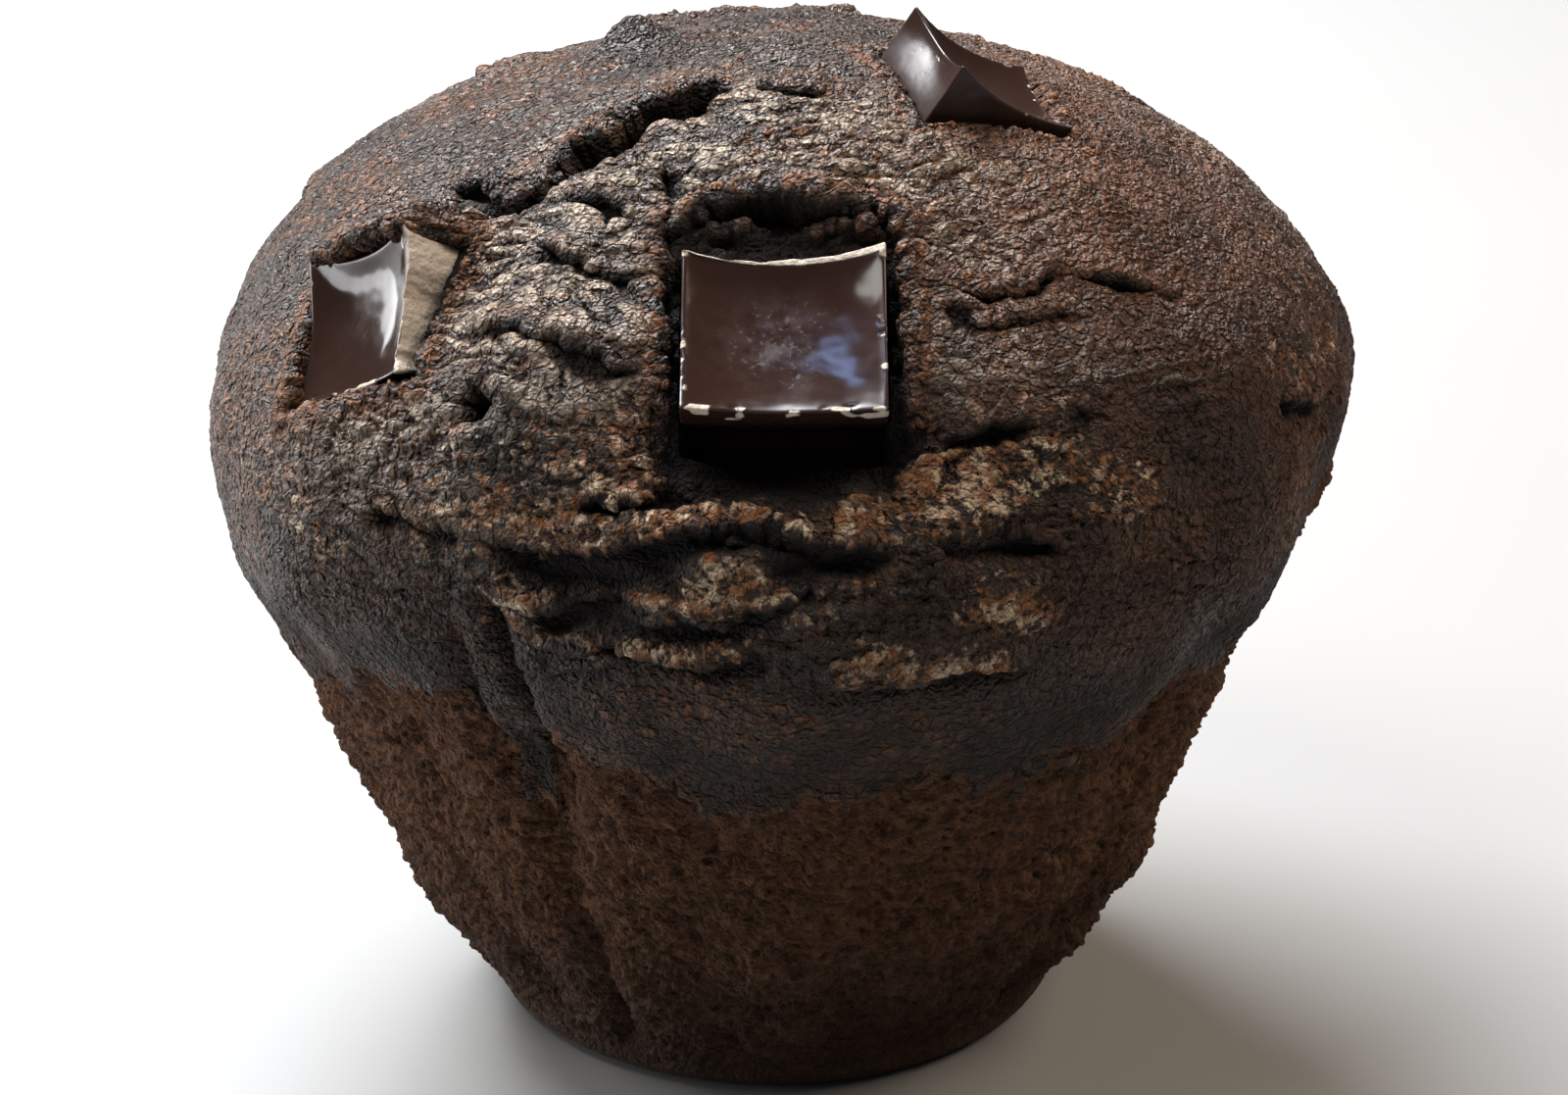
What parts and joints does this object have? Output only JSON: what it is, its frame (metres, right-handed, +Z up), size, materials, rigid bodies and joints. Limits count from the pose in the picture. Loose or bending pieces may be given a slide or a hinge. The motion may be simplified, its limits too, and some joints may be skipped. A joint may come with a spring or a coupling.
{
  "type": "chocolate chunk muffin",
  "caption": "Domed muffin with a cracked crust, chocolate chunks in its top and a tapered wall marked by a peeled paper case; stands on a flat base.",
  "frame": {"origin": "centre of the flat base, on the surface the muffin stands on", "axes": "+Z up through the crown, -Y towards the front with the large square chunk, +X to the right seen from the front"},
  "size_m": [0.0812, 0.0826, 0.0757],
  "materials": {
    "crust": "satin",
    "chocolate": "gloss"
  },
  "bodies": {
    "root": {"cake": "crust", "chunk_front": "chocolate", "chunk_left": "chocolate", "chunk_top_right": "chocolate", "chunk_back": "chocolate", "chunk_back_left": "chocolate"}
  },
  "joints": []
}
